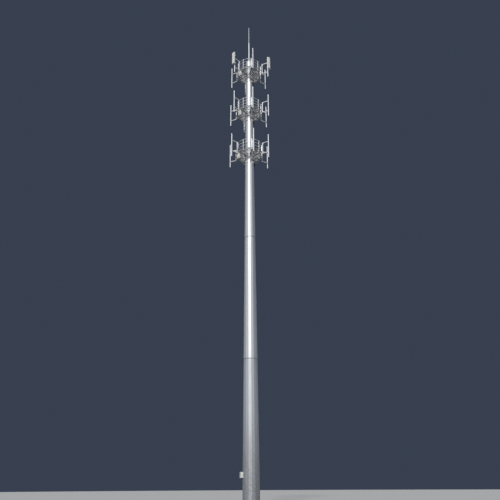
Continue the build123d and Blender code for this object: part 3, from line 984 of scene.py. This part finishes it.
bracket = {"inner": 0.68974, "post": 0.03, "wall": 0.002, "low": -0.115, "high": 0.485, "arm": 0.025,
           "armEdge": 0.0014, "saddleWidth": 0.06, "saddleHeight": 0.055, "saddle": 0.005,
           "saddleCorner": 0.006, "corner": 0.05, "cornerPlate": 0.004, "cornerToe": 0.004}
pipeShape = {"reach": 1.01, "radius": 0.02222, "wall": 0.002, "low": -0.4, "high": 0.85, "opening": 0.08}


def mountBracket():
    # C-shaped frame at the front: inner post, two arms with corner plates, and two saddles
    outer = bracket["inner"] + bracket["post"]
    saddleFace = pipeShape["reach"] - pipeShape["radius"]
    saddleBack = saddleFace - bracket["saddle"]
    arm, corner = bracket["arm"], bracket["corner"]
    parts = [squareTube(bracket["post"], bracket["low"], bracket["high"], (bracket["inner"] + outer) / 2,
                        bracket["wall"], bracket["armEdge"])]
    for middle, way in ((bracket["low"] + arm / 2, 1), (bracket["high"] - arm / 2, -1)):
        parts.append(block((arm, saddleBack - outer + lap, arm), (0, -(saddleBack + outer) / 2, middle),
                           bracket["armEdge"]))
        saddle = block((bracket["saddleWidth"], bracket["saddle"], bracket["saddleHeight"]),
                       (0, -(saddleFace + saddleBack) / 2, middle))
        parts.append(soften(roundAlong(saddle, 1, bracket["saddleCorner"], 2), fineEdge, 1, sharpOnly))
        # triangular corner plate in the bend of post and arm
        y, z = -(outer + corner / 2), middle + way * (arm + corner) / 2
        triangle = block((bracket["cornerPlate"], corner, corner), (0, y, z))
        movePoints(triangle, lambda p: p.y < y and (p.z - z) * way > 0,
                   (0, 0, way * (bracket["cornerToe"] - corner)))
        parts.append(soften(triangle, thinEdge, 1))
    return gather(parts)


def mountPipe():
    # round tube, open at both ends, at the front
    shape = pipeShape
    piece = drum(shape["radius"], shape["low"], shape["high"], 32, shape["reach"])
    return soften(openEnds(piece, shape["wall"], shape["opening"]), thinEdge, 1, sharpOnly)


clamps = {"wire": 0.006, "nut": 0.010, "pipeRise": 0.0195, "pipeEnd": 0.012, "ringSide": 0.008,
          "ringEnd": 0.004, "earBolt": 0.012, "earReach": 0.019, "earRises": (0.25, 0.75),
          "deckEarRises": (0.18, 0.5, 0.82)}
cheek = {"thickness": 0.004, "beamSide": 0.0222, "beam": (0.075, 0.06), "beamReach": 0.0325,
         "beamDrop": 0.052, "braceSide": 0.0147, "brace": (0.055, 0.055), "braceReach": 0.0225,
         "braceMiddle": 0.022,
         "pad": (0.04, 0.09, 0.004), "padReach": 0.535, "padDrop": 0.0622, "beamUnder": 0.06,
         "braceHead": 0.565, "bolt": 0.010, "beamGrip": 0.050, "beamBolts": (0.022, 0.048),
         "beamBoltDrop": 0.0375,
         "braceGrip": 0.034, "braceBolt": 0.027}


def braceRise(height, reach):
    # middle line of a brace, counted from the deck
    start = -(bands["brace"][0] + bands["brace"][1] / 2)
    face = bandFace(height, "brace")
    return start + (reach - face) * (-cheek["beamUnder"] - start) / (cheek["braceHead"] - face)


def fasteners(name, height):
    # nuts and bolts of one platform
    azimuths, both = pipeAzimuths[name], (-1, 1)
    wire, nut = clamps["wire"], clamps["nut"]
    parts = []
    # U-bolts round the mount pipes, two on each saddle
    reach, radius = pipeShape["reach"], pipeShape["radius"]
    middles = [bracket["low"] + bracket["arm"] / 2, bracket["high"] - bracket["arm"] / 2]
    rises = [height + m + way * clamps["pipeRise"] for m in middles for way in both]
    bow = uBolt(radius, wire, radius + bracket["saddle"] + clamps["pipeEnd"])
    parts.append(scatter(bow, [spot(a, reach, rise) for a in azimuths for rise in rises]))
    parts.append(scatter(hexBolt(nut), [
        spot(a, reach - radius - bracket["saddle"], rise, way * (radius + wire / 2), "in")
        for a in azimuths for rise in rises for way in both]))
    # U-bolts that hold each bracket's post to the outer ring
    tube = ringShape["tube"]
    middle, outer = height - bands["deck"][0] + tube, bracket["inner"] + bracket["post"]
    bow = uBolt(tube, wire, outer - ringShape["radius"] + clamps["ringEnd"])
    putAt(bow, Matrix.Rotation(pi, 4, "Z") @ turned["right"])
    sides = [way * clamps["ringSide"] for way in both]
    parts.append(scatter(bow, [
        spot(a, ringShape["radius"], middle, side) for a in azimuths for side in sides]))
    parts.append(scatter(hexBolt(nut), [
        spot(a, outer, middle + way * (tube + wire / 2), side, "out")
        for a in azimuths for side in sides for way in both]))
    # rails and edge plate to the posts
    heads = [place for rise in railShape["heights"]
             for place in postSpots(deckShape["radius"] + postShape["width"], height + rise, 0, "out")]
    parts.append(scatter(hexBolt(railShape["bolt"]), heads))
    inside, rise = deckShape["radius"] - deckShape["edge"], height + postShape["nutHeight"]
    feet = [place for way in both for place in postSpots(inside, rise, way * postShape["nutSide"], "in")]
    parts.append(scatter(studNut(postShape["nut"], postShape["nutStick"]), feet))
    # ears of the clamp bands
    grip = bandPlate["split"] + 2 * bandPlate["earPlate"]
    for band, (depth, tall) in bands.items():
        shares = clamps["deckEarRises" if band == "deck" else "earRises"]
        parts.append(scatter(throughBolt(clamps["earBolt"], grip), [
            spot(bandPlate["earAzimuth"] + turn, bandFace(height, band) + clamps["earReach"],
                 height - depth - tall + tall * share) for turn in (0, 180) for share in shares]))
    # cheek plates' bolts on beams and braces
    parts.append(scatter(throughBolt(cheek["bolt"], cheek["beamGrip"]), [
        spot(a, bandFace(height, "deck") + out, height - cheek["beamBoltDrop"])
        for a in azimuths for out in cheek["beamBolts"]]))
    reach = bandFace(height, "brace") + cheek["braceBolt"]
    parts.append(scatter(throughBolt(cheek["bolt"], cheek["braceGrip"]), [
        spot(a, reach, height + braceRise(height, reach)) for a in azimuths]))
    return paint(gather(parts, f"{name}Fasteners"), boltZinc)


def cheekPlates(name, height):
    # pairs of plates welded to the bands, which hold the beams' and the braces' inner ends
    thick, deckFace, braceFace = cheek["thickness"], bandFace(height, "deck"), bandFace(height, "brace")
    beamY, braceY = -(deckFace + cheek["beamReach"]), -(braceFace + cheek["braceReach"])
    rise = braceRise(height, braceFace + cheek["braceMiddle"])
    plates = [(cheek["pad"], (0, -cheek["padReach"], -cheek["padDrop"]))]      # where a brace meets its beam
    for way in (-1, 1):
        plates.append(((thick, *cheek["beam"]), (way * cheek["beamSide"], beamY, -cheek["beamDrop"])))
        plates.append(((thick, *cheek["brace"]), (way * cheek["braceSide"], braceY, rise)))
    model = gather([block(size, centre, smallEdge) for size, centre in plates])
    parts = scatter(model, [spot(a, 0, height) for a in pipeAzimuths[name]], f"{name}CheekPlates")
    return paint(parts, shadedFrameZinc)


radio = {
    "width": 0.15, "length": 0.24, "depth": 0.075, "arm": 0.0125, "armLap": 0.003, "armHeight": 0.03,
    "azimuths": [-84, 37], "hungPipe": 5, "hungReach": 0.6025, "hanger": 0.085, "hangerWidth": 0.03,
    "hangerWall": 0.002, "finDepth": 0.02, "corner": 0.008, "border": 0.004, "slope": 0.001,
    "fins": 13, "finPitch": 0.0105, "fin": (0.0022, 0.021), "finOut": 0.0085, "finShort": 0.03,
    "finRise": 0.004, "finTip": 0.018, "finCorner": 0.009, "plugSides": (-0.05, -0.025, 0.0, 0.025, 0.05),
    "plug": [(0.0075, -lap, 0.005, 12, fineEdge), (0.0055, 0.005, 0.016, 12, smallEdge)],
    "handle": 0.003, "handleSide": 0.045, "handleHalf": 0.048, "handleRise": 0.018,
    "back": (0.09, 0.004, 0.12), "backLap": 0.0015,
    "hangerFoot": (0.07, 0.055, 0.004), "hangerHead": (0.04, 0.055, 0.004), "headDrop": 0.0622,
    "footRise": 0.0015,
}


def radioUnit():
    # housing at the front with its back at y = 0: cooling fins, bottom connectors and a handle
    width, length, core = radio["width"], radio["length"], radio["depth"] - radio["finDepth"]
    body = roundAlong(block((width, core, length), (0, -core / 2, 0)), 1, radio["corner"], 4)
    soften(sinkFront(body, radio["border"], radio["slope"]), broadEdge, 2, 50)
    count, pitch = radio["fins"], radio["finPitch"]
    fin = block((*radio["fin"], length - radio["finShort"]),
                (-(count - 1) / 2 * pitch, -(core + radio["finOut"]), radio["finRise"]))
    tip = -core - radio["finTip"]
    pickEdges(fin, lambda a, b: a.y < tip and b.y < tip and abs(a.x - b.x) > 0.001)
    bpy.ops.mesh.bevel(offset=radio["finCorner"], segments=2)
    leaveEdit()
    repeat(fin, count, (pitch, 0, 0))
    parts = [paint(body, radioCoat), paint(fin, radioCoat)]
    for x in radio["plugSides"]:
        parts += stub((x, -core / 2, -length / 2), radio["plug"], boltZinc)
    side, half, top = radio["handleSide"], radio["handleHalf"], length / 2 + radio["handleRise"]
    for x in (-side, side):
        leg = rod(radio["handle"], (x, -core / 2, length / 2 - lap), (x, -core / 2, top), 8)
        parts.append(paint(leg, boltZinc))
    grip = rod(radio["handle"], (-half, -core / 2, top), (half, -core / 2, top), 8, plainEdge)
    return gather([*parts, paint(grip, boltZinc)])


def radioUnits(name, height):
    face, under = bandFace(height, "radio"), height - cheek["beamUnder"]
    back, middle = face + radio["arm"], height - bands["radio"][0] - bands["radio"][1] / 2
    hungAzimuth, hungTop = pipeAzimuths[name][radio["hungPipe"]], under - radio["hanger"]
    units = scatter(radioUnit(), [
        *[spot(a, back, middle) for a in radio["azimuths"]],
        spot(hungAzimuth, radio["hungReach"], hungTop - radio["length"] / 2)])
    # wall arms: a bar on the band and a plate behind the housing
    arm = block((radio["width"] / 2, radio["arm"] + 2 * radio["armLap"], radio["armHeight"]),
                (0, -(face - radio["armLap"] + radio["arm"] / 2), middle), plainEdge)
    plate = block(radio["back"], (0, -(back - radio["backLap"]), middle), plainEdge)
    arms = scatter(gather([arm, plate]), [spot(a, 0, 0) for a in radio["azimuths"]])
    reach = radio["hungReach"] + radio["depth"] / 2
    hanger = gather([
        squareTube(radio["hangerWidth"], hungTop - lap / 2, under + lap / 2, reach, radio["hangerWall"],
                   plainEdge),
        block(radio["hangerFoot"], (0, -reach, hungTop + radio["footRise"]), plainEdge),
        block(radio["hangerHead"], (0, -reach, height - radio["headDrop"]), plainEdge)])
    metal = paint(gather([arms, putAt(hanger, spot(hungAzimuth, 0, 0))]), platformZinc)
    return gather([units, metal], f"{name}RadioUnits")


hood = {"edge": 0.0001, "mouth": 0.006, "mouthDepth": 0.12, "lipEdge": 0.004}


def cableHood(name):
    piece = edgedCopy(f"{name}_cable_hood", f"{name}CableHood", hood["edge"])
    lowest = min(point.co.z for point in piece.data.vertices)
    pickFaces(piece, lambda c, n: n.z < -square and c.z < lowest + 0.01)
    bpy.ops.mesh.inset(thickness=hood["mouth"])
    extrude((0, 0, hood["mouthDepth"]))
    leaveEdit()
    return paint(soften(piece, hood["lipEdge"], 3, 40), hoodPolymer)


copies = [("clamp_bands", "ClampBands", 0.0012, platformZinc), ("deck_beams", "DeckBeams", 0.0025, shadedFrameZinc),
          ("braces", "Braces", 0.002, shadedFrameZinc)]
for name, height in decks.items():
    keep(gratingDeck(name, height), "deck_zinc", f"{name}_deck")
    keep(railing(name, height), "platform_zinc", f"{name}_rails")
    posts = scatter(railPost(), postSpots(0, height), f"{name}RailPosts")
    keep(paint(posts, railZinc), "platform_zinc", f"{name}_rail_posts")
    keep(outerRing(name, height), "platform_zinc", f"{name}_outer_ring")
    mounts = [spot(a, 0, height) for a in pipeAzimuths[name]]
    brackets = scatter(mountBracket(), mounts, f"{name}MountBrackets")
    keep(paint(brackets, platformZinc), "platform_zinc", f"{name}_mount_brackets")
    pipes = scatter(mountPipe(), mounts, f"{name}MountPipes")
    keep(paint(pipes, pipeZinc), "mount_pipe_zinc", f"{name}_mount_pipes")
    for node, title, edge, zinc in copies:
        piece = edgedCopy(f"{name}_{node}", f"{name}{title}", edge)
        keep(paint(piece, zinc), "platform_zinc", f"{name}_{node}")
    keep(cheekPlates(name, height), "platform_zinc")
    keep(fasteners(name, height), "platform_zinc")
    keep(radioUnits(name, height), "radio_housing", f"{name}_radio_units")
    keep(cableHood(name), "hood_polymer", f"{name}_cable_hood")
    print(f"{name} platform done")

# Panel antennas on the upper platform
panel = {
    "pipes": [1, 5], "width": 0.16, "length": 0.685, "depth": 0.065, "corner": 0.0226, "cornerSegments": 7,
    "rise": -0.09, "standOff": 0.035, "cap": 0.03, "step": 0.003, "clampInset": 0.11,
    "plugSides": (-0.045, -0.015, 0.015, 0.045), "plugOut": 0.012,
    "plug": [(0.008, -lap, 0.004, 12, fineEdge), (0.0055, 0.004, 0.016, 12, smallEdge)],
    "channel": (0.09, 0.006, 0.045), "cheek": 0.004, "cheekHeight": 0.03, "cheekSide": 0.02,
    "jaw": (0.085, 0.012, 0.035), "rod": 0.004, "rodSide": 0.034, "rodBack": 0.028, "rodFront": 0.024,
    "nut": 0.012,
}


def panelAntenna():
    # shell with end caps, bottom connectors and two clamps, at the front and with its middle at zero
    pipeFace = pipeShape["reach"] + pipeShape["radius"]
    pipeBack = pipeShape["reach"] - pipeShape["radius"]
    back = pipeFace + panel["standOff"]
    middle = -(back + panel["depth"] / 2)
    width, depth, length, cap, step = [panel[key] for key in ("width", "depth", "length", "cap", "step")]
    parts = []
    # the body is a little slimmer than its caps
    for size, z, bevel, segments in (((width - step, depth - step, length - 2 * cap), 0, fineEdge, 1),
                                     ((width, depth, cap), (length - cap) / 2, 0.003, 3),
                                     ((width, depth, cap), (cap - length) / 2, 0.003, 3)):
        shell = roundAlong(block(size, (0, middle, z)), 2, panel["corner"], panel["cornerSegments"])
        parts.append(paint(soften(shell, bevel, segments, sharpOnly), radomeShell))
    for x in panel["plugSides"]:
        for out in (-panel["plugOut"], panel["plugOut"]):
            parts += stub((x, middle + out, -length / 2), panel["plug"], boltZinc)
    jaw = panel["jaw"][1]
    for z in (panel["clampInset"] - length / 2, length / 2 - panel["clampInset"]):
        # channel on the panel, cheeks to the jaw, and the jaw's two halves round the pipe
        metal = [block(panel["channel"], (0, -(back - panel["channel"][1] / 2), z), plainEdge)]
        metal += [block((panel["cheek"], panel["standOff"] - panel["cheek"], panel["cheekHeight"]),
                        (side * panel["cheekSide"], -(back - panel["standOff"] / 2), z), smallEdge)
                  for side in (-1, 1)]
        metal += [block(panel["jaw"], (0, -y, z), 0.002) for y in (pipeFace + jaw / 2, pipeBack - jaw / 2)]
        parts.append(paint(gather(metal), platformZinc))
        for x in (-panel["rodSide"], panel["rodSide"]):     # threaded rods with nuts
            ends = [(x, -y, z) for y in (pipeBack - panel["rodBack"], pipeFace + panel["rodFront"])]
            nuts = scatter(hexBolt(panel["nut"]), [
                spot(0, pipeFace + jaw, z, x, "out"), spot(0, pipeBack - jaw, z, x, "in")])
            parts.append(paint(gather([rod(panel["rod"], *ends, 10), nuts]), boltZinc))
    return gather(parts)


antennaMiddle = decks["upper"] + pipeShape["high"] + panel["rise"] - panel["length"] / 2
antennas = scatter(panelAntenna(), [
    spot(pipeAzimuths["upper"][k], 0, antennaMiddle) for k in panel["pipes"]], "upperPanelAntennas")
keep(antennas, "radome", "upper_panel_antennas")
print("antennas done")

# Floor, light and camera
studio = {
    "floor": 160.0, "floorDrop": 0.001, "floorRoughness": 0.9,
    "floorColour": (0.48, 0.48, 0.48), "floorBounce": (0.20, 0.20, 0.20),
    "air": (0.44, 0.45, 0.47), "cloth": (0.040, 0.052, 0.080),
    # power, azimuth, height and breadth: a broad soft key from the front left, a weaker fill from the left
    "lamps": {"keySun": (2.1, -9, 34, 8), "fillSun": (0.2, -75, 20, 50)},
}


def seenRays(make):
    # 1 for what the camera, metal and glass see, and 0 for the light that reaches dull surfaces
    rays = make("ShaderNodeLightPath", {}).outputs
    shiny = sums(make, "MAXIMUM", rays["Is Glossy Ray"], rays["Is Transmission Ray"])
    return sums(make, "MAXIMUM", shiny, rays["Is Camera Ray"])


def studioFloor():
    bpy.ops.mesh.primitive_circle_add(
        vertices=96, radius=studio["floor"] / 2, fill_type="NGON", location=(0, 0, -studio["floorDrop"]))
    piece = bpy.context.object
    piece.name = "studioFloor"
    material, tree, make, shader = newMaterial("floorPaint")
    colour = mixColour(make, seenRays(make), studio["floorBounce"], studio["floorColour"])
    tree.links.new(colour, shader.inputs["Base Color"])
    shader.inputs["Roughness"].default_value = studio["floorRoughness"]
    paint(piece, material)


def studioLight():
    for title, (power, azimuth, height, breadth) in studio["lamps"].items():
        bpy.ops.object.light_add(type="SUN", location=(0, 0, 30))
        lamp = bpy.context.object
        lamp.name = title
        lamp.data.energy = power
        lamp.data.angle = radians(breadth)
        a, e = radians(azimuth), radians(height)
        towards = Vector((sin(a) * cos(e), -cos(a) * cos(e), sin(e)))
        lamp.rotation_mode = "QUATERNION"
        lamp.rotation_quaternion = towards.to_track_quat("Z", "Y")
    world = bpy.data.worlds.new("studioAir")
    bpy.context.scene.world = world
    world.use_nodes = True
    # the camera, metal and glass see the darker backcloth, while the pale air lights the rest
    tree = world.node_tree
    make = nodeMaker(tree)
    colour = mixColour(make, seenRays(make), studio["air"], studio["cloth"])
    tree.links.new(colour, tree.nodes["Background"].inputs["Color"])


shot = {"distance": 22.2, "height": 0.8, "tilt": 23.2, "roll": -0.3, "lens": 39.5, "sensor": 36,
        "farthest": 500}


def photoCamera():
    bpy.ops.object.camera_add(location=(0, -shot["distance"], shot["height"]))
    camera = bpy.context.object
    camera.name = "photoCamera"
    camera.data.lens = shot["lens"]
    camera.data.sensor_width = shot["sensor"]
    camera.data.clip_end = shot["farthest"]
    camera.rotation_mode = "QUATERNION"
    level = Quaternion((1, 0, 0), radians(90 + shot["tilt"]))
    camera.rotation_quaternion = level @ Quaternion((0, 0, 1), radians(shot["roll"]))
    bpy.context.scene.camera = camera


studioFloor()
studioLight()
photoCamera()
bpy.context.scene.view_settings.view_transform = "Standard"
print("studio done")
